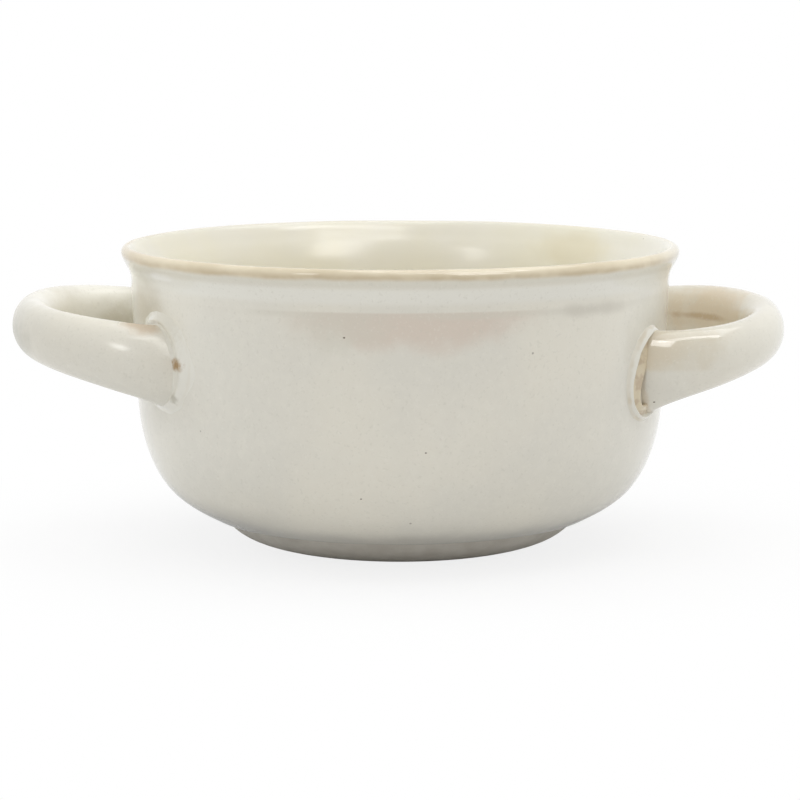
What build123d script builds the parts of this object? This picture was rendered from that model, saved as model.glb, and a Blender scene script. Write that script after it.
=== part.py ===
"""Lug soup bowl: a thrown stoneware bowl with two luted loop handles and a low foot ring.

The frame has its origin at the centre of the foot, on the surface that the bowl stands on.
+Z is up, +X runs through the handles and the side at -Y is called the front. Sizes are in millimetres.
"""
import os
from math import atan2, cos, degrees, radians, sin

from build123d import *

os.makedirs("parts", exist_ok=True)

# Foot ring
foot_height = 7.0
foot_inset = 2.0
tread_outer_radius = 31.5
tread_width = 4.5
foot_bore_radius = 24.5
foot_side_lean = 35.0
foot_under_slope = 6.0
foot_bore_rounding = 1.0

# Outside of the wall: radius at the shoulder, then how far in and how high each lower point lies
wall_radius = 66.4
heel_inset = 19.6
haunch_inset = 9.3
haunch_rise = 6.7
belly_inset = 3.6
belly_rise = 16.8
side_inset = 1.25
side_rise = 30.2
shoulder_rise = 57.5
heel_slope = 26.0

# Thickness of the clay and the flat inner floor
wall_thickness = 4.3
floor_thickness = 4.6
floor_radius = 30.0
haunch_slope = 46.0
belly_slope = 70.0

# Flared neck with a rounded lip
lip_overhang = 2.5
lip_rise = 9.7
lip_radius = 1.6
lip_under_angle = 30.0
lip_inner_angle = 165.0
neck_lean_out = 5.0
lip_spans = 3

# Loop handles: an oval strap that follows half an ellipse, thick at the roots
handle_stand = 24.5
handle_setback = 1.6
handle_half_width = 31.5
handle_rise = 6.2
root_thickness = 11.6
root_height = 18.7
loop_thickness = 9.7
loop_height = 13.0
taper_power = 2.2
left_root_drop = 15.7
right_root_drop = 17.2
left_handle_tilt = 1.7
right_handle_tilt = 2.9
root_turn = 103.0
buried_turn = 9.0
station_count = 15

# Slip that lutes each handle end to the wall: a thin oval pad with a raised bead along its edge
slip_thickness = 0.6
pad_side_margin = 6.4
pad_end_margin = 2.3
bead_width = 2.4
bead_height = 1.6
bead_rounding = 0.6

pad_half_width = root_thickness / 2 + pad_side_margin
pad_half_height = root_height / 2 + pad_end_margin
heel_radius = wall_radius - heel_inset
foot_top_radius = heel_radius - foot_inset
tread_inner_radius = tread_outer_radius - tread_width
floor_height = foot_height + floor_thickness
shoulder_height = foot_height + shoulder_rise
lip_center_radius = wall_radius + lip_overhang - lip_radius
lip_center_height = shoulder_height + lip_rise - lip_radius


def upward(angle_from_level):
    """Unit direction in the profile that climbs outwards at an angle from level."""
    return (cos(radians(angle_from_level)), sin(radians(angle_from_level)))


def moved_in(radius, height, slope):
    """Point one wall thickness inside a point of the outer wall, square to its slope."""
    across = radians(slope)
    return (radius - wall_thickness * sin(across), height + wall_thickness * cos(across))


def lip_point(angle):
    """Point on the round lip, by its angle from the outward direction."""
    turn = radians(angle)
    return (lip_center_radius + lip_radius * cos(turn), lip_center_height + lip_radius * sin(turn))


lip_span = (lip_under_angle + lip_inner_angle) / lip_spans
lip_points = [lip_point(lip_span * step - lip_under_angle) for step in range(lip_spans + 1)]

heel = (heel_radius, foot_height)
haunch = (wall_radius - haunch_inset, foot_height + haunch_rise)
belly = (wall_radius - belly_inset, foot_height + belly_rise)
side = (wall_radius - side_inset, foot_height + side_rise)
shoulder = (wall_radius, shoulder_height)
mid_wall = ((side[0] + shoulder[0]) / 2, (side[1] + shoulder[1]) / 2)
wall_points = (heel, haunch, belly, side, mid_wall, shoulder)
wall_slope = degrees(atan2(shoulder_rise - side_rise, side_inset))

floor_edge = (floor_radius, floor_height)
inner_haunch = moved_in(*haunch, haunch_slope)
inner_belly = moved_in(*belly, belly_slope)
inner_side = moved_in(*side, wall_slope)
inner_shoulder = moved_in(*shoulder, wall_slope)


def wall_blank(grow):
    """Solid filled to the outside of the wall, moved out by grow."""
    curve = [(radius + grow, height) for radius, height in wall_points]
    with BuildPart(mode=Mode.PRIVATE) as blank:
        with BuildSketch(Plane.XZ):
            with BuildLine():
                Spline(*curve, tangents=[upward(heel_slope), upward(wall_slope)])
                Polyline(curve[-1], (0, shoulder_height), (0, foot_height), curve[0])
            make_face()
        revolve(axis=Axis.Z)
    return blank.part


# Bowl body: floor, wall, flared neck and lip in one turned profile
with BuildPart() as bowl_body:
    with BuildSketch(Plane.XZ):
        with BuildLine():
            Spline(*wall_points, tangents=[upward(heel_slope), upward(wall_slope)])
            Spline(
                shoulder,
                lip_points[0],
                tangents=[upward(90 - neck_lean_out), upward(90 - lip_under_angle)],
            )
            Spline(*lip_points, tangents=[upward(90 - lip_under_angle), upward(90 + lip_inner_angle)])
            Spline(
                inner_shoulder,
                lip_points[-1],
                tangents=[upward(wall_slope), upward(lip_inner_angle - 90)],
            )
            Line(inner_side, inner_shoulder)
            Spline(
                floor_edge,
                inner_haunch,
                inner_belly,
                inner_side,
                tangents=[upward(0), upward(wall_slope)],
            )
            Polyline(floor_edge, (0, floor_height), (0, foot_height), heel)
        make_face()
    revolve(axis=Axis.Z)
bowl_body.part.label = "bowl_body"
export_step(bowl_body.part, "parts/bowl_body.step")

# Foot ring: rounded outside, a narrow flat tread and a sloping bore
with BuildPart() as foot_ring:
    with BuildSketch(Plane.XZ):
        with BuildLine():
            Spline(
                (foot_top_radius, foot_height),
                (tread_outer_radius, 0),
                tangents=[upward(270 - foot_side_lean), upward(180 + foot_under_slope)],
            )
            Polyline(
                (tread_outer_radius, 0),
                (tread_inner_radius, 0),
                (foot_bore_radius, foot_height),
                (foot_top_radius, foot_height),
            )
        make_face()
    revolve(axis=Axis.Z)
    tread_bore_edge = foot_ring.edges().filter_by(GeomType.CIRCLE).group_by(Axis.Z)[0].sort_by(SortBy.RADIUS)[0]
    fillet(tread_bore_edge, radius=foot_bore_rounding)
foot_ring.part.label = "foot_ring"
export_step(foot_ring.part, "parts/foot_ring.step")

loop_center = wall_radius - handle_setback
loop_reach = handle_stand + handle_setback
handle_end = wall_blank(slip_thickness)
bead_limit = wall_blank(bead_height)
wall_outside = wall_blank(0)


def handle_station(side_sign, turn, end_height, tilt):
    """Plane across the strap at a turn round the loop, and its share of the way to the root."""
    share = (abs(turn) / root_turn) ** taper_power
    angle = radians(turn)
    center = (
        side_sign * (loop_center + loop_reach * cos(angle)),
        handle_half_width * sin(angle),
        -handle_rise * share,
    )
    across = (side_sign * handle_half_width * cos(angle), loop_reach * sin(angle), 0)
    along = (-side_sign * loop_reach * sin(angle), handle_half_width * cos(angle), 0)
    leaning = Location((0, 0, end_height), (tilt, 0, 0))
    square = Plane(origin=center, x_dir=across, z_dir=along)
    return Plane(leaning * square.location), share


handles = [
    ("left", -1, left_root_drop, left_handle_tilt),
    ("right", 1, right_root_drop, right_handle_tilt),
]
for side_name, side_sign, root_drop, tilt in handles:
    end_height = shoulder_height - root_drop + handle_rise
    last_turn = root_turn + buried_turn

    # Handle: a loft through oval stations, with its ends cut to sit on the slip
    with BuildPart() as handle:
        for station in range(station_count):
            turn = last_turn * (2 * station / (station_count - 1) - 1)
            plane, share = handle_station(side_sign, turn, end_height, tilt)
            thickness = loop_thickness + (root_thickness - loop_thickness) * share
            height = loop_height + (root_height - loop_height) * share
            with BuildSketch(plane):
                Ellipse(thickness / 2, height / 2)
        loft()
        add(handle_end, mode=Mode.SUBTRACT)
    handle.part.label = f"{side_name}_handle"
    export_step(handle.part, f"parts/{side_name}_handle.step")

    # Slip joints: a thin pad under each handle end with a rounded bead along its edge
    for end_name, end_sign in (("front", -1), ("rear", 1)):
        plane, share = handle_station(side_sign, end_sign * root_turn, end_height, tilt)
        behind_wall = plane.offset(-root_thickness)
        with BuildPart() as slip_joint:
            with BuildSketch(behind_wall):
                Ellipse(pad_half_width, pad_half_height)
            extrude(amount=2 * root_thickness)
            add(bead_limit, mode=Mode.INTERSECT)
            add(wall_outside, mode=Mode.SUBTRACT)
            with BuildPart(mode=Mode.SUBTRACT):
                with BuildSketch(behind_wall):
                    Ellipse(pad_half_width - bead_width, pad_half_height - bead_width)
                extrude(amount=2 * root_thickness)
                add(handle_end, mode=Mode.SUBTRACT)
            outward = Axis((0, 0, 0), (plane.origin.X, plane.origin.Y, 0))
            bead_top = slip_joint.faces().sort_by(outward).last
            fillet(bead_top.edges(), radius=bead_rounding)
            add(handle.part, mode=Mode.SUBTRACT)
        slip_joint.part.label = f"{side_name}_{end_name}_slip_joint"
        export_step(slip_joint.part, f"parts/{side_name}_{end_name}_slip_joint.step")
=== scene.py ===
"""Lug soup bowl: white glazed stoneware with two loop handles, on a pale studio floor.

The frame has its origin at the centre of the foot, +Z up, the handles along X and the front at -Y.
Sizes and places on the bowl are in millimetres, and MM turns them into metres.
Sizes of the floor, the lamps and the camera are in metres.
"""

from math import atan2, cos, pi, radians, sin

import bmesh
import bpy
from mathutils import Matrix, Vector


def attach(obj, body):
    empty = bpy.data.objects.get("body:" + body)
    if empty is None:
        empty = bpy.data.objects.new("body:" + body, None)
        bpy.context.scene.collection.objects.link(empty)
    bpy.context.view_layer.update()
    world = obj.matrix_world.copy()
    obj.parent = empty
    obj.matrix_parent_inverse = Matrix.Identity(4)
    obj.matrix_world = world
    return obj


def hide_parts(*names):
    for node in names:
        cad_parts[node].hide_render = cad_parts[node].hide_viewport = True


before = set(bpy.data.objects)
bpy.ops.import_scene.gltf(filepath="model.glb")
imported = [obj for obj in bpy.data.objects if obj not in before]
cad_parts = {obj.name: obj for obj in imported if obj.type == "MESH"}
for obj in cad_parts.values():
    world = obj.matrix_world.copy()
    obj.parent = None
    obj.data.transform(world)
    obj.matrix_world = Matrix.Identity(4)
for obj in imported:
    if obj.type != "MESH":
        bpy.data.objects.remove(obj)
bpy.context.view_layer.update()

MM = 0.001

# Rings of the thrown bowl, each a radius and a height, from the heel up the outside
OUTSIDE = [
    (46.8, 7.0), (47.4, 7.25), (49.2, 8.2), (51.7, 9.5), (54.0, 11.0), (56.1, 12.6), (58.0, 14.5),
    (59.6, 16.7), (60.95, 19.0), (62.1, 21.5), (63.0, 24.0), (63.75, 26.6), (64.35, 29.4), (64.8, 32.4),
    (65.15, 36.0), (65.5, 42.0), (65.8, 48.0), (66.05, 54.0), (66.3, 59.0), (66.45, 62.2),
]
# The soft ridge of the shoulder and the flared neck above it
NECK = [
    (66.51, 63.6), (66.54, 64.4), (66.52, 65.2), (66.57, 66.2), (66.77, 67.3), (67.1, 68.3), (67.6, 69.3),
    (68.15, 70.3), (68.6, 71.2),
]
# Round the lip, then down the inside to the floor
LIP = [
    (68.85, 72.0), (68.95, 72.7), (68.75, 73.4), (68.2, 73.97), (67.4, 74.25), (66.7, 73.9), (66.15, 73.25),
    (65.65, 72.4),
]
INSIDE = [
    (65.2, 71.5), (64.6, 70.2), (63.95, 69.0), (63.45, 67.7), (63.0, 66.3), (62.65, 64.7), (62.35, 62.6),
    (62.1, 59.8), (61.9, 56.5), (61.65, 52.0), (61.35, 46.0), (61.0, 40.0), (60.65, 35.5), (60.2, 31.0),
    (59.3, 27.0), (58.1, 23.6), (56.6, 20.4), (54.4, 17.2), (51.4, 14.8), (47.5, 13.2), (42.5, 12.2),
    (36.5, 11.7), (30.0, 11.6), (20.0, 11.6), (9.0, 11.6), (3.0, 11.6),
]
# Foot ring, from where it meets the bowl down to the tread and up its bore
FOOT = [
    (44.6, 7.4), (44.6, 7.0), (44.2, 6.5), (43.0, 5.05), (41.3, 3.5), (39.0, 2.1), (36.2, 1.05), (33.4, 0.35),
    (31.9, 0.08), (31.2, 0.0), (29.4, 0.0), (27.9, 0.05), (27.1, 0.35), (26.6, 1.1), (25.9, 3.0), (24.9, 6.0),
    (24.5, 7.0), (24.5, 7.4),
]
TURNED_CORNERS = 96
BASE_INSET = 0.7
# Faces above the first height are inside if they look in, or look up below the second height
INSIDE_ABOVE = 9
FLOOR_BELOW = 14
LOOKS_UP = 0.5

# Loop handles: half an ellipse that sags towards its ends, with the thickness and height of the oval strap
LOOP_CENTRE = 64.8
LOOP_REACH = 26.1
LOOP_SPREAD = 31.5
LOOP_SAG = 6.2
LOOP_STRAP = (9.7, 13.0)
ROOT_STRAP = (11.6, 18.7)
ROOT_TURN = 103
TAPER_POWER = 2.2
STRAP_CORNERS = 28
# Each handle: side, height of the loop, tilt, flare of its roots in thickness and height, waist before the
# roots, and how far its front arm is worn down on top and fuller below
HANDLES = {
    "left": (-1, 55.0, 1.7, (0.4, 0.3), 0.0, (0.0, 0.45)),
    "right": (1, 53.5, 2.9, (-0.6, 0.6), 0.9, (0.95, 0.15)),
}
ENDS = {"front": -1, "rear": 1}
# Turns round the loop at which the strap has its rings, closer together at the ends
TURNS = [0, 8, 16, 24, 32, 40, 48, 56, 64, 72, 80, 86, 91, 95, 98, 101, 104, 107, 110, 113]
# Where along the turns the roots flare, the waist lies and the front arm's hump starts, with its pace
FLARE_TURN = 90
WAIST_TURN = 87
WAIST_REACH = 15
FRONT_ARM_START = 100
FRONT_ARM_PACE = 1.65
# How much fuller the strap is all round before it is smoothed
FULLNESS = 0.1

# Slip bead round a handle root, from under the strap outwards:
# half width, half height and how far each ring stands proud of the wall
SOFT_BEAD = [
    (5.0, 8.3, 1.4), (5.8, 8.75, 1.15), (6.5, 9.0, 0.8), (7.2, 9.2, 0.55), (7.9, 9.4, 0.5), (8.6, 9.65, 0.65),
    (9.4, 9.95, 0.88), (10.2, 10.3, 0.92), (11.0, 10.65, 0.72), (11.9, 11.05, 0.42), (12.9, 11.6, 0.15),
    (14.0, 12.3, 0.0), (15.2, 13.0, -0.2),
]
SHARP_BEAD = [
    (3.9, 8.4, 1.4), (5.2, 8.9, 1.1), (6.0, 9.2, 0.85), (7.0, 9.6, 0.55), (7.85, 10.0, 0.4), (8.35, 10.3, 0.6),
    (8.75, 10.55, 1.15), (9.1, 10.8, 1.4), (9.55, 11.1, 1.15), (10.0, 11.45, 0.6), (10.5, 11.75, 0.15),
    (11.2, 12.2, -0.2),
]
BEADS = {"left": SOFT_BEAD, "right": SHARP_BEAD}
# Lean of a side's beads and their turn round the bowl in degrees, and how far they lie below the roots
BEAD_LEAN = {"left": 0, "right": -32}
BEAD_TURN = {"left": 0, "right": 1.3}
BEAD_DROP = {"left": -0.8, "right": 0.35}
BEAD_CORNERS = 64
BEAD_BODY = 0.9
BEFORE_WALL = 70
# How far the lowest ring is sunk into the wall and the highest stands proud of it
SUNK = -0.2
PROUDEST = 1.4
RING_WIDTH = "ring_width"

# Unevenness of hand work: length of its waves and depth
BOWL_WAVES = (45, 0.35)
HANDLE_WAVES = (24, 0.5)
BEAD_WAVES = (7, 0.7)
ROUNDING_LEVELS = 1
SAME_POINT = 0.001


def shade(red, green, blue):
    """Colour as it looks on a screen, from 0 to 255, turned into shader values."""
    parts = [part / 255 for part in (red, green, blue)]
    linear = [part / 12.92 if part <= 0.04045 else ((part + 0.055) / 1.055) ** 2.4 for part in parts]
    return (*linear, 1)


# Glaze in its whites and creams, then where it is thin, flecked or tan, painted shade and light, then the bare
# clay
WARM_WHITE = shade(229, 224, 210)
GREY_WHITE = shade(223, 219, 207)
# Pooled glaze, and also a painted sheen in the neck
POOLED_WHITE_AND_SHEEN = shade(233, 230, 219)
THIN_WHITE = shade(220, 215, 200)
PALE_CREAM = shade(233, 229, 216)
CREAM = shade(233, 228, 209)
DEEP_CREAM = shade(226, 218, 193)
# Painted shade along the shoulder's crease and round the handle roots
PAINTED_CREASE_SHADE = shade(214, 209, 194)
# Painted shade of the shoulder line on the right
PAINTED_STREAK_SHADE = shade(202, 196, 182)
# Painted shade on the left handle's rear arm next to the wall
PAINTED_OLIVE_SHADE = shade(178, 169, 142)
# Painted shade on the left handle's outer side
PAINTED_SIDE_SHADE = shade(200, 197, 182)
# Painted shade towards the foot, darker still on the left
PAINTED_HEEL_SHADE = shade(184, 180, 170)
PAINTED_LEFT_HEEL_SHADE = shade(150, 146, 138)
# Painted shade in a dimple on the left bead
PAINTED_PIT_SHADE = shade(196, 191, 176)
FLECK = shade(204, 200, 185)
# Pale flecks, also painted light on the left handle's top
PALE_FLECK_AND_LIT_TOP = shade(241, 238, 228)
# Painted shade on the wall above the left handle's root
PAINTED_WARM_SHADE = shade(192, 182, 160)
BLUSH = shade(217, 204, 189)
BLUSH_TAN = shade(212, 196, 174)
BEIGE = shade(214, 204, 182)
PALE_TAN = shade(222, 206, 180)
TAN = shade(208, 184, 148)
DEEP_TAN = shade(186, 158, 118)
OCHRE = shade(212, 194, 156)
RUST = shade(172, 140, 98)
LIP_TAN = shade(220, 206, 177)
PALE_LIP_TAN = shade(233, 221, 194)
LIP_BROWN = shade(193, 174, 141)
IRON = shade(100, 84, 68)
CLAY = shade(216, 211, 201)
DARK_CLAY = shade(205, 199, 188)
PALE_CLAY = shade(215, 210, 200)
PLAIN_WHITE = (1, 1, 1, 1)

# Noise: size of its patches, detail, the two levels that it is read between,
# and the shares there if they aren't 0 and 1
GLAZE_PATCHES = (34, 3, 0.35, 0.65)
GLAZE_CURDS = (2.4, 4, 0.4, 0.75, 0.0, 0.3)
DARK_FLECKS = (0.8, 3, 0.56, 0.74, 0.0, 0.3)
PALE_FLECKS = (0.7, 3, 0.44, 0.26, 0.0, 0.18)
BLUSH_CLOUDS = (42, 2, 0.5, 0.68, 0.0, 0.5)
CREASE_CLOUDS = (24, 2, 0.4, 0.6, 0.1, 0.5)
INNER_PATCHES = (30, 3, 0.35, 0.65)
LIP_PATCHES = (14, 3, 0.35, 0.65)
LIP_WEAR = (6, 2, 0.3, 0.6, 0.25, 0.65)
GROOVE_SPOTS = (2.6, 2, 0.48, 0.66)
# Patches of the painted shade along a bead's skirt
SKIRT_SHADE_PATCHES = (6, 2, 0.4, 0.6, 0.4, 1.0)
CLAY_PATCHES = (6, 4, 0.3, 0.7)
CLAY_GRIT = (0.7, 3, 0.55, 0.72, 0.0, 0.35)
CLAY_ROUGHNESS = (3, 2, 0.3, 0.7, 0.7, 0.9)
GLOSS_CLOUDS = (15, 3, 0.3, 0.7)
# The same for ragged edges, which give the size and the two shares themselves
RAGGED_NOISE = (3, 0.2, 0.8)

# Bands by height: where a finish starts and where it is full, and the shares there if they aren't 0 and 1
# Pooled glaze with a painted sheen in the neck
NECK_POOL_AND_SHEEN_FROM = (65.0, 67.0)
NECK_POOL_AND_SHEEN_TO = (70.4, 68.8)
NECK_THIN = (69.2, 70.6, 0.0, 0.8)
UNDER_SHOULDER = (64.4, 63.7)
BLUSH_BAND = (54, 63)
CREASE_BAND = (62.2, 63.4)
# Painted shade towards the foot, and more of it on the left
HEEL_BAND = (12, 7.5, 0.0, 0.6)
LEFT_HEEL_BAND = (17, 8)
INNER_POOL = (40, 14, 0.0, 0.6)
LIP_FROM = (71.1, 72.2)
LIP_LOWER_SIDE = (73.5, 72.1)
# The same by distance from the bowl's axis, along the handles and from front to back
LIP_OUTSIDE = (66.6, 67.4)
HANDLE_END = (67.2, 66.5)
LEFT_HEEL_SIDE = (-22, -44, 0.0, 0.55)
LIP_LEFT_END = (-50, -66, 0.0, 0.35)
LIP_RIGHT_END = (56, 68, 1.0, 0.5)
LIP_BEHIND = (0, 40, 1.0, 0.25)

# Ragged edges of the bands: size of their noise and its reach
BLUSH_EDGE = (12, 4)
CREASE_EDGE = (20, 0.4)
HEEL_EDGE = (12, 0.6)
INNER_EDGE = (14, 4)
LIP_HEIGHT_EDGE = (9, 0.25)
LIP_RADIUS_EDGE = (6, 0.3)
HANDLE_END_EDGE = (3, 0.3)
RING_EDGE = (3, 0.25)

# Patches: middle, half sizes, size and reach of the ragged edge, where it is full, share and colour
# A blush under the shoulder, then a greyer patch in the painted crease shade colour
SHOULDER_PATCHES = [
    ((0, -66, 64), (33, 30, 10.5), 7, 0.14, 0.5, 0.95, BLUSH),
    ((-17, -63, 63), (14, 20, 10), 5, 0.2, 0.45, 0.5, PAINTED_CREASE_SHADE),
]
# Painted shade along the shoulder line on the right
SHOULDER_SHADE_STREAK = ((42, -51.5, 63.2), (21, 15, 2.3), 7, 0.2, 0.1, 0.65, PAINTED_STREAK_SHADE)
# Painted shade on the wall above the left handle's root
SHADE_ABOVE_LEFT_ROOT = ((-62, -24, 60), (8, 17, 11), 9, 0.15, 0.1, 0.6, PAINTED_WARM_SHADE)
INNER_RIGHT = ((48, 42, 68), (18, 18, 6), 8, 0.15, 0.3, 1.0, DEEP_CREAM)
# Painted shade in the same form round every handle root, which gives the middle
ROOT_SHADE = ((15, 15, 16), 4, 0.1, 0.45, 0.35, PAINTED_CREASE_SHADE)

# Patches on each handle, tan tones or painted light and shade: middle, half sizes, lowest height, share,
# colour and dryness
HANDLE_PATCHES = {
    "left": [
        ((-62.8, -32.2, 58.2), (6, 6, 4.5), 0, 1.0, BLUSH_TAN, 1.0),
        # Painted light on the loop's top, then painted shade on its outer side and next to the wall
        ((-76, 25.5, 60.5), (14, 12, 4), 0, 0.8, PALE_FLECK_AND_LIT_TOP, 0.0),
        ((-85, -2, 61), (10, 22, 5), 0, 0.9, PALE_FLECK_AND_LIT_TOP, 0.0),
        ((-95, -7, 51.5), (10, 22, 7), 0, 0.8, PAINTED_SIDE_SHADE, 0.0),
        ((-67.5, 26, 51.5), (12, 11, 6), 0, 0.6, PAINTED_OLIVE_SHADE, 0.0),
    ],
    "right": [
        ((60, -36, 54), (22, 16, 15), 46.4, 0.7, BEIGE, 0.0),
        ((57.5, -35.5, 52), (9, 8, 8), 45, 0.2, TAN, 0.0),
        ((80, 16, 54), (24, 20, 10), 0, 0.85, PALE_TAN, 0.0),
        ((78, 19.5, 53.2), (11, 11, 1.3), 0, 0.6, DEEP_TAN, 0.0),
    ],
}
# Size and reach of their ragged edge, where they are full, and how softly they end at the lowest height
HANDLE_PATCH_EDGE = (5, 0.2, 0.3)
LOWEST_SOFTNESS = 0.6
END_TAN = {"left": 0.0, "right": 0.3}

# Slip beads by the width of their rings: groove edge, share of tan in it, skirt and share of painted beige
# shade along it
BEAD_TONES = {"left": (7.6, 0.0, 12.6, 0.15), "right": (8.25, 0.7, 10.2, 0.8)}
BEAD_PALENESS = 0.7
GROOVE_SOFTNESS = 0.3
SKIRT_FROM = (-0.5, 0.0)
SKIRT_TO = (0.9, 0.3)
# Thin glaze, rusty pit and painted shade in a dimple on one bead: middle, half sizes and colour
BEAD_SPOTS = {
    "left_front": [
        ((-57.5, -34.5, 58.0), (9, 9, 9), THIN_WHITE),
        ((-54.9, -37.6, 48.9), (3.4, 3.8, 2.1), RUST),
        ((-55.7, -36.3, 40.7), (1.9, 1.9, 2.0), PAINTED_PIT_SHADE),
    ],
}
SPOT_EDGE = (1, 0.2, 0.2)

# Iron specks: how far apart the tiny ones may lie, how few of them are kept, their edge and share
SPECK_SPACING = 7
SPECK_KEPT_ABOVE = 0.9
SPECK_EDGE = (0.055, 0.03)
SPECK_SHARE = 0.5
# Larger ones on the wall and on the handles: middle and half width, then how flat they are and their edge
WALL_SPECKS = [((-16.1, -64.1, 58.4), 0.32), ((2.5, -64.6, 31.8), 0.28), ((-12.2, -60.4, 20.5), 0.26)]
HANDLE_SPECKS = {"left": [], "right": [((59.1, -33.7, 38.7), 0.3)]}
LARGER_SPECK_FLATNESS = 0.7
LARGER_SPECK_EDGE = (0.4, 0.2, 0.6)

# Skin of the glaze and the clay: size, detail, strength and depth of the relief, then the roughness
# between two values
RIPPLES = (11, 1, 0.3, 0.3)
PEEL = (0.8, 2, 0.2, 0.03)
CLAY_GRAIN = (0.6, 3, 0.4, 0.08)
FULL_GLOSS = (0.05, 0.1)
INNER_GLOSS = (0.15, 0.21)
HANDLE_GLOSS = {"left": (0.2, 0.27), "right": FULL_GLOSS}
DRY_ROUGHNESS = 0.35
GLAZE_IOR = 1.52

# Studio: light from the room and how bright it looks, then the floor near the bowl and far from it
ROOM_LIGHT = 0.56
ROOM_SEEN = 1.0
FLOOR_SIZE = 1.6
FLOOR_NEAR = 0.05
FLOOR_TONE_FAR = 0.13
FLOOR_WHITE_FAR = 0.14
# Darker floor near the bowl, a painted shade
NEAR_TONE = (0.78, 0.78, 0.78, 1)
FAR_TONE = (0.85, 0.85, 0.85, 1)
NEAR_WHITE_SEEN = 0.83
NEAR_WHITE_MIRRORED = 0.2
LAMP_TARGET = (0, 0, 0.05)
LAMP_DISTANCE = 0.9
DAYLIGHT = (0.86, 0.93, 1.0)
CAMERA_EYE = (-0.03964, -0.74895, 0.14213)
CAMERA_TARGET = (0, 0, 0.03485)
CAMERA_LENS = 136.7
CAMERA_SENSOR = 36
CAMERA_NEAREST = 0.01

# Sockets of the mix node that carry its share and colours
MIX_SHARE = 0
MIX_UNDER = 6
MIX_OVER = 7
MIX_RESULT = 2


def start_clean():
    """Leave nothing selected before a new piece is added."""
    bpy.ops.object.select_all(action="DESELECT")


def pull_rings(rings):
    """Draw the selected open edge through the rings of a turned profile."""
    for (radius, height), (next_radius, next_height) in zip(rings, rings[1:]):
        bpy.ops.mesh.extrude_region_move(TRANSFORM_OT_translate={"value": (0, 0, (next_height - height) * MM)})
        grow = next_radius / radius
        bpy.ops.transform.resize(value=(grow, grow, 1), center_override=(0, 0, next_height * MM))


def close_up():
    """Merge doubled points and turn every face outwards, then leave edit mode."""
    bpy.ops.mesh.select_all(action="SELECT")
    bpy.ops.mesh.remove_doubles(threshold=SAME_POINT * MM)
    bpy.ops.mesh.normals_make_consistent(inside=False)
    bpy.ops.object.mode_set(mode="OBJECT")


def settle():
    """Put the active piece at the origin with its place in its mesh, and shade it smooth."""
    bpy.ops.object.transform_apply(location=True, rotation=True, scale=True)
    bpy.ops.object.shade_smooth()


def smooth_out(piece):
    """Round the control shape with an applied subdivision surface."""
    rounding = piece.modifiers.new("rounding", "SUBSURF")
    rounding.levels = ROUNDING_LEVELS
    rounding.render_levels = ROUNDING_LEVELS
    bpy.ops.object.modifier_apply(modifier=rounding.name)


def hand_waves(piece, wave, depth):
    """Press in the slow unevenness of hand work, with waves of the given length."""
    clouds = bpy.data.textures.new(piece.name + "_waves", "CLOUDS")
    clouds.noise_scale = wave * MM
    press = piece.modifiers.new("hand_waves", "DISPLACE")
    press.texture = clouds
    press.texture_coords = "LOCAL"
    press.mid_level = 0.5
    press.strength = depth * MM
    bpy.ops.object.modifier_apply(modifier=press.name)


def throw_bowl():
    """Thrown bowl: a turned wall with a soft shoulder, flared neck, rounded lip and flat floor."""
    start_clean()
    heel_radius, heel_height = OUTSIDE[0]
    bpy.ops.mesh.primitive_circle_add(
        vertices=TURNED_CORNERS,
        radius=heel_radius * MM,
        fill_type="TRIFAN",
        location=(0, 0, heel_height * MM),
        enter_editmode=True,
    )
    piece = bpy.context.object
    piece.name = "thrown_bowl"
    bpy.ops.mesh.inset(thickness=BASE_INSET * MM)
    bpy.ops.mesh.select_all(action="SELECT")
    bpy.ops.mesh.region_to_loop()
    pull_rings(OUTSIDE + NECK + LIP + INSIDE)
    bpy.ops.mesh.merge(type="CENTER")
    close_up()
    settle()
    smooth_out(piece)
    hand_waves(piece, *BOWL_WAVES)
    return piece


def glaze_inside(piece):
    """Give the second finish to the faces that the soup touches, found by the way they look."""
    bpy.ops.object.mode_set(mode="EDIT")
    bpy.ops.mesh.select_all(action="DESELECT")
    mesh = bmesh.from_edit_mesh(piece.data)
    for face in mesh.faces:
        middle = face.calc_center_median()
        looks_in = face.normal.dot(Vector((middle.x, middle.y, 0))) < 0
        on_floor = middle.z < FLOOR_BELOW * MM and face.normal.z > LOOKS_UP
        face.select = middle.z > INSIDE_ABOVE * MM and (looks_in or on_floor)
    bmesh.update_edit_mesh(piece.data)
    piece.active_material_index = 1
    bpy.ops.object.material_slot_assign()
    bpy.ops.object.mode_set(mode="OBJECT")


def turn_foot():
    """Foot ring with a rounded outside, a narrow tread and a sloping bore."""
    start_clean()
    top_radius, top_height = FOOT[0]
    bpy.ops.mesh.primitive_circle_add(
        vertices=TURNED_CORNERS, radius=top_radius * MM, location=(0, 0, top_height * MM), enter_editmode=True
    )
    piece = bpy.context.object
    piece.name = "turned_foot"
    pull_rings(FOOT)
    bpy.ops.mesh.select_all(action="DESELECT")
    bpy.ops.mesh.select_non_manifold()
    bpy.ops.mesh.bridge_edge_loops()
    close_up()
    settle()
    smooth_out(piece)
    return piece


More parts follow.
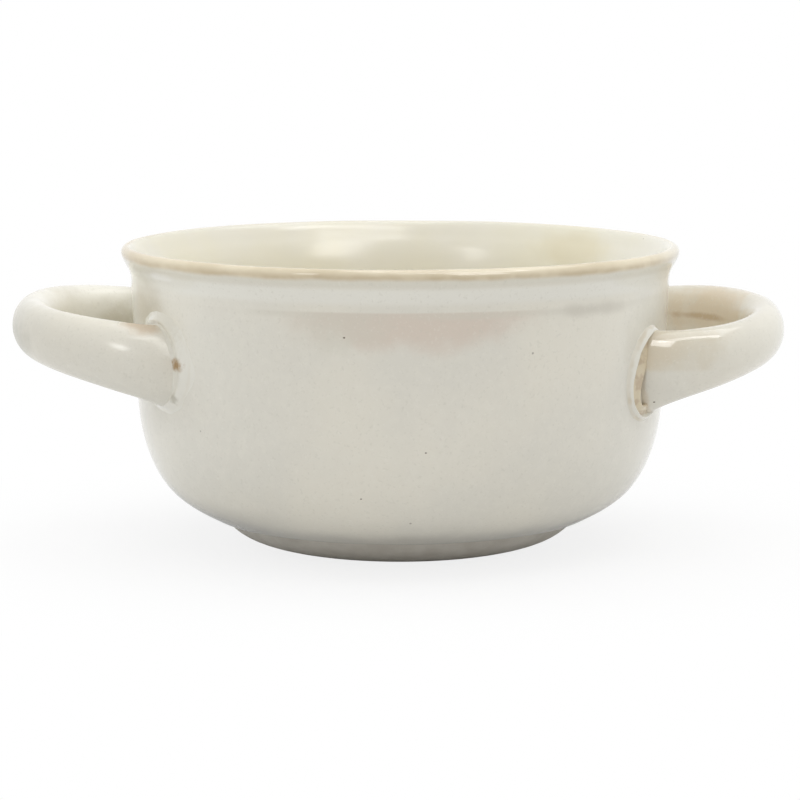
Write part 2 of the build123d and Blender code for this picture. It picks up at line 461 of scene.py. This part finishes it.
def strap_oval(side_sign, loop_height, tilt, flare, waist, front_arm, turn):
    """Place across the strap at a turn round the loop, and the half sizes of its oval there."""
    share = (abs(turn) / ROOT_TURN) ** TAPER_POWER
    angle = radians(turn)
    reach = side_sign * (LOOP_CENTRE + LOOP_REACH * cos(angle))
    centre = Vector((reach, LOOP_SPREAD * sin(angle), -LOOP_SAG * share))
    outward = Vector((side_sign * LOOP_SPREAD * cos(angle), LOOP_REACH * sin(angle), 0)).normalized()
    along = Vector((-side_sign * LOOP_REACH * sin(angle), LOOP_SPREAD * cos(angle), 0)).normalized()
    square = Matrix((outward, along.cross(outward), along)).transposed()
    lean = Matrix.Rotation(radians(tilt), 3, "X")
    end = max(0, (abs(turn) - FLARE_TURN) / (ROOT_TURN - FLARE_TURN)) ** 2
    half_sizes = [
        (loop + (root - loop) * share) / 2 + FULLNESS + spread * end
        for loop, root, spread in zip(LOOP_STRAP, ROOT_STRAP, flare)
    ]
    half_sizes[0] -= waist * max(0, 1 - ((abs(turn) - WAIST_TURN) / WAIST_REACH) ** 2)
    worn_down, fuller = front_arm
    hump = max(0, sin(radians(FRONT_ARM_PACE * (turn + FRONT_ARM_START)))) / 2
    half_sizes[1] += hump * (fuller - worn_down)
    middle = lean @ centre + Vector((0, 0, loop_height - hump * (fuller + worn_down)))
    return middle, lean @ square, half_sizes


def add_oval(middle, square, half_sizes):
    """Add one oval ring of the strap at its place."""
    bpy.ops.mesh.primitive_circle_add(
        vertices=STRAP_CORNERS, radius=MM, location=middle * MM, rotation=square.to_euler()
    )
    oval = bpy.context.object
    oval.scale = (half_sizes[0], half_sizes[1], 1)
    return oval


def pull_handle(side, shape):
    """Loop handle: oval rings bridged into a strap, with both ends buried in the wall."""
    start_clean()
    turns = [-turn for turn in reversed(TURNS[1:])] + TURNS
    ovals = [add_oval(*strap_oval(*shape, turn)) for turn in turns]
    for oval in ovals:
        oval.select_set(True)
    bpy.ops.object.join()
    piece = bpy.context.object
    piece.name = side + "_loop_handle"
    bpy.ops.object.mode_set(mode="EDIT")
    bpy.ops.mesh.select_all(action="SELECT")
    bpy.ops.mesh.bridge_edge_loops(type="SINGLE")
    bpy.ops.mesh.select_all(action="SELECT")
    bpy.ops.mesh.fill_holes(sides=0)
    close_up()
    settle()
    smooth_out(piece)
    hand_waves(piece, *HANDLE_WAVES)
    return piece


def handle_roots():
    """Middle of the strap at each end of both handles."""
    return [strap_oval(*shape, turn * ROOT_TURN)[0] for shape in HANDLES.values() for turn in ENDS.values()]


def bead_middle(side, end_sign):
    """Middle of the bead at one end of a handle."""
    root = strap_oval(*HANDLES[side], end_sign * ROOT_TURN)[0] - Vector((0, 0, BEAD_DROP[side]))
    return Matrix.Rotation(radians(end_sign * BEAD_TURN[side]), 3, "Z") @ root


def lay_bead(joint, middle, rings, lean, wall):
    """Slip bead round a handle root: flat rings, wrapped on the wall, raised to a crest and thickened."""
    start_clean()
    before_wall = Vector((BEFORE_WALL, 0, middle.z)) * MM
    bpy.ops.mesh.primitive_circle_add(
        vertices=BEAD_CORNERS, radius=MM, location=before_wall, rotation=(pi / 2, 0, pi / 2)
    )
    piece = bpy.context.object
    piece.name = joint + "_slip_bead"
    piece.scale = (rings[0][0], rings[0][1], 1)
    bpy.ops.object.transform_apply(location=True, rotation=True, scale=True)
    bpy.ops.object.mode_set(mode="EDIT")
    for (across, up, _), (next_across, next_up, _) in zip(rings, rings[1:]):
        bpy.ops.mesh.extrude_region_move()
        bpy.ops.transform.resize(value=(1, next_across / across, next_up / up), center_override=before_wall)
    bpy.ops.mesh.select_all(action="SELECT")
    bpy.ops.transform.rotate(value=radians(lean), orient_axis="X", center_override=before_wall)
    bpy.ops.object.mode_set(mode="OBJECT")
    note_rings(piece, rings)
    piece.rotation_euler = (0, 0, atan2(middle.y, middle.x))
    wrap_on_wall(piece, wall)
    settle()
    smooth_out(piece)
    hand_waves(piece, *BEAD_WAVES)
    return piece


def note_rings(piece, rings):
    """Keep each ring's height for the lift and its width for the finish."""
    crest = piece.vertex_groups.new(name="crest")
    for step, (_, _, proud) in enumerate(rings):
        corners = range(step * BEAD_CORNERS, (step + 1) * BEAD_CORNERS)
        crest.add(corners, (proud - SUNK) / (PROUDEST - SUNK), "REPLACE")
    widths = [across for across, _, _ in rings for _ in range(BEAD_CORNERS)]
    piece.data.attributes.new(RING_WIDTH, "FLOAT", "POINT").data.foreach_set("value", widths)


def wrap_on_wall(piece, wall):
    """Lay flat rings on the bowl's wall, lift them to their heights and give them a body."""
    wrap = piece.modifiers.new("wrap", "SHRINKWRAP")
    wrap.target = wall
    wrap.wrap_method = "PROJECT"
    wrap.wrap_mode = "ABOVE_SURFACE"
    wrap.use_project_x = True
    wrap.use_negative_direction = True
    wrap.use_positive_direction = False
    wrap.offset = SUNK * MM
    lift = piece.modifiers.new("lift", "DISPLACE")
    lift.vertex_group = "crest"
    lift.mid_level = 0
    lift.strength = (PROUDEST - SUNK) * MM
    body = piece.modifiers.new("body", "SOLIDIFY")
    body.thickness = BEAD_BODY * MM
    body.offset = -1
    for step in (wrap, lift, body):
        bpy.ops.object.modifier_apply(modifier=step.name)


def feed(tree, socket, value):
    """Link a socket to another node, or set it to a fixed value."""
    if isinstance(value, bpy.types.NodeSocket):
        tree.links.new(value, socket)
    else:
        socket.default_value = value


def put(tree, kind, options, sockets):
    """Add a node with its options, and feed each named socket."""
    made = tree.nodes.new(kind)
    for option, value in options.items():
        setattr(made, option, value)
    for name, value in sockets.items():
        feed(tree, made.inputs[name], value)
    return made


def place_on(tree):
    """Position on the piece."""
    return put(tree, "ShaderNodeTexCoord", {}, {}).outputs["Object"]


def coordinate(tree, place, axis):
    """One coordinate of a position, such as Z for the height above the floor."""
    return put(tree, "ShaderNodeSeparateXYZ", {}, {0: place}).outputs[axis]


def vector_math(tree, kind, first, second):
    """Two positions subtracted, multiplied or divided."""
    return put(tree, "ShaderNodeVectorMath", {"operation": kind}, {0: first, 1: second}).outputs[0]


def length_of(tree, place):
    """Distance of a position from the origin."""
    return put(tree, "ShaderNodeVectorMath", {"operation": "LENGTH"}, {0: place}).outputs["Value"]


def radius_of(tree, place):
    """Distance from the bowl's axis."""
    return length_of(tree, vector_math(tree, "MULTIPLY", place, (1, 1, 0)))


def plain_math(tree, kind, first, second):
    """Two values added, multiplied or compared."""
    return put(tree, "ShaderNodeMath", {"operation": kind}, {0: first, 1: second}).outputs[0]


def both(tree, first, second):
    """Share where both shares hold."""
    return plain_math(tree, "MULTIPLY", first, second)


def coat(tree, share, under, over):
    """One colour laid over another by a share."""
    layer = put(tree, "ShaderNodeMix", {"data_type": "RGBA"}, {})
    feed(tree, layer.inputs[MIX_SHARE], share)
    feed(tree, layer.inputs[MIX_UNDER], under)
    feed(tree, layer.inputs[MIX_OVER], over)
    return layer.outputs[MIX_RESULT]


def fade(tree, value, start, end, low=0.0, high=1.0):
    """Smooth step from low at start to high at end."""
    sockets = {"Value": value, "From Min": start, "From Max": end, "To Min": low, "To Max": high}
    return put(tree, "ShaderNodeMapRange", {"interpolation_type": "SMOOTHSTEP"}, sockets).outputs["Result"]


def band(tree, value, start, end, low=0.0, high=1.0):
    """Smooth step between two lengths in millimetres."""
    return fade(tree, value, start * MM, end * MM, low, high)


def cloud(tree, place, size, detail):
    """Soft noise with patches of the given size."""
    sockets = {"Vector": place, "Scale": 1 / (size * MM), "Detail": detail}
    return put(tree, "ShaderNodeTexNoise", {}, sockets).outputs["Fac"]


def mottle(tree, place, size, detail, start, end, low=0.0, high=1.0):
    """Share that runs from low to high where soft noise passes from start to end."""
    return fade(tree, cloud(tree, place, size, detail), start, end, low, high)


def ragged(tree, value, place, size, reach):
    """Value pushed up and down by noise, so that an edge set on it runs unevenly."""
    push = mottle(tree, place, size, *RAGGED_NOISE, -reach, reach)
    return plain_math(tree, "ADD", value, push)


def worn(tree, length, place, size, reach):
    """Length pushed up and down by noise, with the reach in millimetres."""
    return ragged(tree, length, place, size, reach * MM)


def nearness(tree, place, middle, half_sizes, size, reach, full):
    """Share that falls from 1 well inside an ellipsoid to 0 at its ragged skin."""
    offset = vector_math(tree, "SUBTRACT", place, Vector(middle) * MM)
    scaled = vector_math(tree, "DIVIDE", offset, Vector(half_sizes) * MM)
    return fade(tree, ragged(tree, length_of(tree, scaled), place, size, reach), 1.0, full)


def lay_patch(tree, place, colour, patch, within=1.0):
    """Lay a patch's colour over another where the patch lies within a share."""
    middle, half_sizes, size, reach, full, share, over = patch
    near = nearness(tree, place, middle, half_sizes, size, reach, full)
    return coat(tree, both(tree, both(tree, near, within), share), colour, over)


def relief(tree, place, size, detail, strength, depth, under=None):
    """Bumps of soft noise, laid over another relief if there is one."""
    sockets = {"Strength": strength, "Distance": depth * MM, "Height": cloud(tree, place, size, detail)}
    if under:
        sockets["Normal"] = under
    return put(tree, "ShaderNodeBump", {}, sockets).outputs[0]


def new_finish(name):
    """Empty material, ready for its nodes."""
    finish = bpy.data.materials.new(name)
    finish.use_nodes = True
    finish.node_tree.nodes.clear()
    return finish


def iron_specks(tree, place, colour, larger):
    """Sparse dark specks of iron: tiny ones strewn about and a few larger ones."""
    cells = put(tree, "ShaderNodeTexVoronoi", {}, {"Vector": place, "Scale": 1 / (SPECK_SPACING * MM)})
    lot = put(tree, "ShaderNodeSeparateColor", {}, {0: cells.outputs["Color"]}).outputs[0]
    kept = plain_math(tree, "GREATER_THAN", lot, SPECK_KEPT_ABOVE)
    dot = fade(tree, cells.outputs["Distance"], *SPECK_EDGE)
    colour = coat(tree, both(tree, both(tree, kept, dot), SPECK_SHARE), colour, IRON)
    for middle, half_width in larger:
        half_sizes = (half_width, half_width, LARGER_SPECK_FLATNESS * half_width)
        spot = nearness(tree, place, middle, half_sizes, *LARGER_SPECK_EDGE)
        colour = coat(tree, spot, colour, IRON)
    return colour


def milky_white(tree, place):
    """White glaze, uneven in patches and faintly curdled."""
    colour = coat(tree, mottle(tree, place, *GLAZE_PATCHES), WARM_WHITE, GREY_WHITE)
    return coat(tree, mottle(tree, place, *GLAZE_CURDS), colour, PALE_CREAM)


def flecked(tree, place, colour):
    """Fine dark and pale flecks strewn over the glaze."""
    colour = coat(tree, mottle(tree, place, *DARK_FLECKS), colour, FLECK)
    return coat(tree, mottle(tree, place, *PALE_FLECKS), colour, PALE_FLECK_AND_LIT_TOP)


def glaze_shader(tree, place, colour, gloss=FULL_GLOSS, dry=0.0):
    """Glossy skin whose slow ripples and fine peel break up reflections, duller where it is dry."""
    skin = relief(tree, place, *PEEL, relief(tree, place, *RIPPLES))
    rough = mottle(tree, place, *GLOSS_CLOUDS, *gloss)
    rough = plain_math(tree, "ADD", rough, both(tree, dry, DRY_ROUGHNESS))
    sockets = {"Base Color": colour, "Roughness": rough, "IOR": GLAZE_IOR, "Normal": skin}
    surface = put(tree, "ShaderNodeBsdfPrincipled", {}, sockets)
    put(tree, "ShaderNodeOutputMaterial", {}, {"Surface": surface.outputs[0]})


def lip_break(tree, place, height, colour):
    """Tan where the glaze runs thin over the lip's outer edge, deeper on its lower side and paler behind."""
    outside = band(tree, worn(tree, radius_of(tree, place), place, *LIP_RADIUS_EDGE), *LIP_OUTSIDE)
    edge = worn(tree, height, place, *LIP_HEIGHT_EDGE)
    tan = coat(tree, mottle(tree, place, *LIP_PATCHES), LIP_TAN, PALE_LIP_TAN)
    lower_side = both(tree, band(tree, edge, *LIP_LOWER_SIDE), mottle(tree, place, *LIP_WEAR))
    tan = coat(tree, lower_side, tan, LIP_BROWN)
    along = coordinate(tree, place, "X")
    tan = coat(tree, band(tree, along, *LIP_LEFT_END), tan, LIP_BROWN)
    share = both(tree, band(tree, edge, *LIP_FROM), band(tree, along, *LIP_RIGHT_END))
    share = both(tree, share, band(tree, coordinate(tree, place, "Y"), *LIP_BEHIND))
    return coat(tree, both(tree, outside, share), colour, tan)


def shoulder_blush_and_shade(tree, place, height, colour):
    """Warm tint under the shoulder, and painted shade along its crease."""
    below = band(tree, height, *UNDER_SHOULDER)
    for patch in SHOULDER_PATCHES:
        colour = lay_patch(tree, place, colour, patch, below)
    around = both(tree, below, band(tree, worn(tree, height, place, *BLUSH_EDGE), *BLUSH_BAND))
    colour = coat(tree, both(tree, mottle(tree, place, *BLUSH_CLOUDS), around), colour, BLUSH)
    # Painted shade along the shoulder's crease
    crease = both(tree, below, band(tree, worn(tree, height, place, *CREASE_EDGE), *CREASE_BAND))
    return coat(tree, both(tree, crease, mottle(tree, place, *CREASE_CLOUDS)), colour, PAINTED_CREASE_SHADE)


def paint_heel_shade(tree, place, height, colour):
    """Painted shade towards the foot, darkest on the left."""
    low = worn(tree, height, place, *HEEL_EDGE)
    colour = coat(tree, band(tree, low, *HEEL_BAND), colour, PAINTED_HEEL_SHADE)
    left_side = band(tree, coordinate(tree, place, "X"), *LEFT_HEEL_SIDE)
    return coat(tree, both(tree, left_side, band(tree, low, *LEFT_HEEL_BAND)), colour, PAINTED_LEFT_HEEL_SHADE)


def outer_glaze():
    """Outside of the bowl: milky white, pooled in the neck with a painted sheen, blushing under the shoulder,
    tan on the lip, with painted shade under the shoulder, round the roots and towards the foot.
    """
    finish = new_finish("outer_glaze")
    tree = finish.node_tree
    place = place_on(tree)
    height = coordinate(tree, place, "Z")
    colour = milky_white(tree, place)
    # Pooled glaze in the neck, partly a painted sheen
    pooled = both(tree, band(tree, height, *NECK_POOL_AND_SHEEN_FROM), band(tree, height, *NECK_POOL_AND_SHEEN_TO))
    colour = coat(tree, pooled, colour, POOLED_WHITE_AND_SHEEN)
    colour = coat(tree, band(tree, height, *NECK_THIN), colour, THIN_WHITE)
    colour = shoulder_blush_and_shade(tree, place, height, colour)
    # Painted shade along the shoulder line on the right
    colour = lay_patch(tree, place, colour, SHOULDER_SHADE_STREAK)
    # Painted shade round every handle root
    for root in handle_roots():
        colour = lay_patch(tree, place, colour, (root, *ROOT_SHADE))
    # Painted shade above the left handle's root
    colour = lay_patch(tree, place, colour, SHADE_ABOVE_LEFT_ROOT)
    # Painted shade towards the foot, then flecks
    colour = flecked(tree, place, paint_heel_shade(tree, place, height, colour))
    colour = iron_specks(tree, place, lip_break(tree, place, height, colour), WALL_SPECKS)
    glaze_shader(tree, place, colour)
    return finish


def inner_glaze():
    """Inside of the bowl: creamier, a little deeper in tone where it pools towards the floor."""
    finish = new_finish("inner_glaze")
    tree = finish.node_tree
    place = place_on(tree)
    height = coordinate(tree, place, "Z")
    colour = coat(tree, mottle(tree, place, *INNER_PATCHES), CREAM, PALE_CREAM)
    pooled = band(tree, worn(tree, height, place, *INNER_EDGE), *INNER_POOL)
    colour = coat(tree, pooled, colour, DEEP_CREAM)
    colour = lay_patch(tree, place, colour, INNER_RIGHT)
    colour = iron_specks(tree, place, lip_break(tree, place, height, colour), [])
    glaze_shader(tree, place, colour, INNER_GLOSS)
    return finish


def handle_glaze(side):
    """Handle: milky white that turns tan and drier where it runs thin, with painted light and shade in
    patches.
    """
    finish = new_finish(side + "_handle_glaze")
    tree = finish.node_tree
    place = place_on(tree)
    height = coordinate(tree, place, "Z")
    colour = milky_white(tree, place)
    dry = 0.0
    # Tan where the glaze is thin, or painted light and shade
    for middle, half_sizes, lowest, share, over, dryness in HANDLE_PATCHES[side]:
        near = nearness(tree, place, middle, half_sizes, *HANDLE_PATCH_EDGE)
        thin = both(tree, near, band(tree, height, lowest - LOWEST_SOFTNESS, lowest + LOWEST_SOFTNESS))
        colour = coat(tree, both(tree, thin, share), colour, over)
        dry = plain_math(tree, "MAXIMUM", dry, both(tree, thin, dryness))
    end = band(tree, worn(tree, radius_of(tree, place), place, *HANDLE_END_EDGE), *HANDLE_END)
    colour = coat(tree, both(tree, end, END_TAN[side]), colour, TAN)
    colour = iron_specks(tree, place, flecked(tree, place, colour), HANDLE_SPECKS[side])
    glaze_shader(tree, place, colour, HANDLE_GLOSS[side], dry)
    return finish


def bead_glaze(side, joint):
    """Slip bead: thick white glaze, tan in the groove beside the handle and painted beige shade along its
    skirt.
    """
    groove_edge, groove_share, skirt, skirt_share = BEAD_TONES[side]
    finish = new_finish(joint + "_bead_glaze")
    tree = finish.node_tree
    place = place_on(tree)
    width = put(tree, "ShaderNodeAttribute", {"attribute_name": RING_WIDTH}, {}).outputs["Fac"]
    width = ragged(tree, width, place, *RING_EDGE)
    colour = coat(tree, BEAD_PALENESS, milky_white(tree, place), POOLED_WHITE_AND_SHEEN)
    tan = coat(tree, mottle(tree, place, *GROOVE_SPOTS), OCHRE, DEEP_TAN)
    groove = fade(tree, width, groove_edge + GROOVE_SOFTNESS, groove_edge - GROOVE_SOFTNESS)
    colour = coat(tree, both(tree, groove, groove_share), colour, tan)
    # Painted shade along the bead's skirt
    skirt_edges = [[skirt + step for step in steps] for steps in (SKIRT_FROM, SKIRT_TO)]
    along_skirt = both(tree, *[fade(tree, width, *edges) for edges in skirt_edges])
    patchy = both(tree, along_skirt, mottle(tree, place, *SKIRT_SHADE_PATCHES))
    colour = coat(tree, both(tree, patchy, skirt_share), colour, BEIGE)
    for middle, half_sizes, over in BEAD_SPOTS.get(joint, []):
        colour = coat(tree, nearness(tree, place, middle, half_sizes, *SPOT_EDGE), colour, over)
    glaze_shader(tree, place, colour)
    return finish


def foot_clay():
    """Bare stoneware: grey-brown clay with sandy grit."""
    finish = new_finish("foot_clay")
    tree = finish.node_tree
    place = place_on(tree)
    colour = coat(tree, mottle(tree, place, *CLAY_PATCHES), CLAY, DARK_CLAY)
    colour = coat(tree, mottle(tree, place, *CLAY_GRIT), colour, PALE_CLAY)
    grain = relief(tree, place, *CLAY_GRAIN)
    rough = mottle(tree, place, *CLAY_ROUGHNESS)
    sockets = {"Base Color": colour, "Roughness": rough, "Normal": grain}
    surface = put(tree, "ShaderNodeBsdfPrincipled", {}, sockets)
    put(tree, "ShaderNodeOutputMaterial", {}, {"Surface": surface.outputs[0]})
    return finish


def hand_over(piece, node, slot, *finishes):
    """Give a piece its finishes and let it stand for its CAD node."""
    piece.data.materials.clear()
    for finish in finishes:
        piece.data.materials.append(finish)
    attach(piece, "root")
    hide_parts(node)


def seen_directly(tree):
    """Share that is 1 for what the camera, a reflection or a clear body looks at."""
    path = put(tree, "ShaderNodeLightPath", {}, {})
    seen = plain_math(tree, "MAXIMUM", path.outputs["Is Camera Ray"], path.outputs["Is Glossy Ray"])
    return plain_math(tree, "MAXIMUM", seen, path.outputs["Is Transmission Ray"])


def pale_surroundings():
    """White room that shines softly on the bowl and looks plain white behind it."""
    room = bpy.data.worlds.new("pale_room")
    bpy.context.scene.world = room
    room.use_nodes = True
    tree = room.node_tree
    tree.nodes.clear()
    strength = fade(tree, seen_directly(tree), 0, 1, ROOM_LIGHT, ROOM_SEEN)
    glow = put(tree, "ShaderNodeBackground", {}, {"Color": PLAIN_WHITE, "Strength": strength})
    put(tree, "ShaderNodeOutputWorld", {}, {"Surface": glow.outputs[0]})


def floor_finish():
    """Pale matt floor that runs out to plain white, and is mirrored in its shadow near the bowl, where its
    darker tone is painted shade.
    """
    finish = new_finish("pale_floor")
    tree = finish.node_tree
    distance = length_of(tree, place_on(tree))
    mirrored = put(tree, "ShaderNodeLightPath", {}, {}).outputs["Is Glossy Ray"]
    near = fade(tree, mirrored, 0, 1, NEAR_WHITE_SEEN, NEAR_WHITE_MIRRORED)
    far = both(tree, seen_directly(tree), fade(tree, distance, FLOOR_NEAR, FLOOR_WHITE_FAR, near, 1.0))
    # Darker tone near the bowl: painted shade
    tone = coat(tree, fade(tree, distance, FLOOR_NEAR, FLOOR_TONE_FAR), NEAR_TONE, FAR_TONE)
    lit = put(tree, "ShaderNodeBsdfDiffuse", {}, {"Color": tone})
    white = put(tree, "ShaderNodeEmission", {}, {"Color": PLAIN_WHITE, "Strength": 1.0})
    surface = put(tree, "ShaderNodeMixShader", {}, {0: far, 1: lit.outputs[0], 2: white.outputs[0]})
    put(tree, "ShaderNodeOutputMaterial", {}, {"Surface": surface.outputs[0]})
    return finish


def pale_floor():
    """Floor that takes the bowl's shadow."""
    start_clean()
    bpy.ops.mesh.primitive_plane_add(size=FLOOR_SIZE, location=(0, 0, 0))
    floor = bpy.context.object
    floor.name = "pale_floor"
    floor.data.materials.append(floor_finish())
    return floor


def soft_lamp(name, towards, width, depth, power):
    """Soft rectangular light in a direction from the bowl, facing it."""
    bpy.ops.object.light_add(type="AREA")
    lamp = bpy.context.object
    lamp.name = name
    direction = Vector(towards).normalized()
    lamp.location = Vector(LAMP_TARGET) + direction * LAMP_DISTANCE
    lamp.rotation_euler = direction.to_track_quat("Z", "Y").to_euler()
    lamp.data.shape = "RECTANGLE"
    lamp.data.size = width
    lamp.data.size_y = depth
    lamp.data.energy = power
    return lamp


def keep_to(lamp, pieces):
    """Let a lamp shine on the given pieces alone."""
    lit = bpy.data.collections.new(lamp.name + "_pieces")
    for piece in pieces:
        lit.objects.link(piece)
    lamp.light_linking.receiver_collection = lit


def glint_lamp(name, towards, width, depth, power, pieces):
    """Light that shows only as a reflection on the given pieces."""
    lamp = soft_lamp(name, towards, width, depth, power)
    lamp.visible_diffuse = False
    keep_to(lamp, pieces)


def fill_lamp(name, towards, width, depth, power, pieces):
    """Light that brightens the given pieces and leaves no reflection."""
    lamp = soft_lamp(name, towards, width, depth, power)
    lamp.visible_glossy = False
    lamp.data.color = DAYLIGHT
    keep_to(lamp, pieces)


def photo_camera():
    """Long lens a little above the rim, turned slightly towards the left handle."""
    eye = Vector(CAMERA_EYE)
    turned = (eye - Vector(CAMERA_TARGET)).to_track_quat("Z", "Y").to_euler()
    bpy.ops.object.camera_add(location=eye, rotation=turned)
    camera = bpy.context.object
    camera.data.lens = CAMERA_LENS
    camera.data.sensor_width = CAMERA_SENSOR
    camera.data.clip_start = CAMERA_NEAREST
    bpy.context.scene.camera = camera


# The bowl and its foot
bowl = throw_bowl()
hand_over(bowl, "bowl_body", "white_glaze", outer_glaze(), inner_glaze())
glaze_inside(bowl)
hand_over(turn_foot(), "foot_ring", "foot_clay", foot_clay())

# The handles, each followed in its list by its front and rear beads
lugs = {}
for side, shape in HANDLES.items():
    handle = pull_handle(side, shape)
    hand_over(handle, side + "_handle", "white_glaze", handle_glaze(side))
    lugs[side] = [handle]
    for end, end_sign in ENDS.items():
        joint = side + "_" + end
        bead = lay_bead(joint, bead_middle(side, end_sign), BEADS[side], end_sign * BEAD_LEAN[side], bowl)
        hand_over(bead, joint + "_slip_joint", "bead_glaze", bead_glaze(side, joint))
        lugs[side].append(bead)

# The studio: each lamp has a direction from the bowl, a width, a depth and a power in watts,
# and the pieces that it is kept to
pale_surroundings()
floor = pale_floor()
soft_lamp("overhead_lamp", (0.25, 0.0, 0.97), 0.8, 0.8, 3.6)
soft_lamp("front_lamp", (-0.28, -0.6, 0.75), 0.7, 0.7, 1.1).visible_glossy = False
soft_lamp("rim_lamp", (0.28, -0.44, 0.85), 0.73, 0.16, 1.8).visible_diffuse = False
glint_lamp("right_softbox", (0.42, -0.72, 0.55), 0.34, 0.5, 2.4, [bowl] + lugs["left"])
glint_lamp("strip_lamp", (-0.21, -0.64, 0.743), 0.7, 0.3, 4.6, lugs["right"])
glint_lamp("window_lamp", (-0.34, -0.87, 0.37), 0.2, 0.14, 0.85, lugs["left"])
glint_lamp("low_window_lamp", (-0.60, -0.68, 0.40), 0.14, 0.3, 0.55, [bowl])
fill_lamp("left_side_lamp", (-0.85, 0.35, 0.40), 0.5, 0.5, 2.6, [bowl, floor] + lugs["left"][1:])
fill_lamp("left_top_lamp", (-0.2, 0.1, 0.97), 0.5, 0.5, 1.0, lugs["left"][:1])
fill_lamp("right_side_lamp", (0.92, 0.35, 0.20), 0.5, 0.5, 1.85, [bowl, floor] + lugs["right"])
photo_camera()
bpy.context.scene.view_settings.view_transform = "Standard"
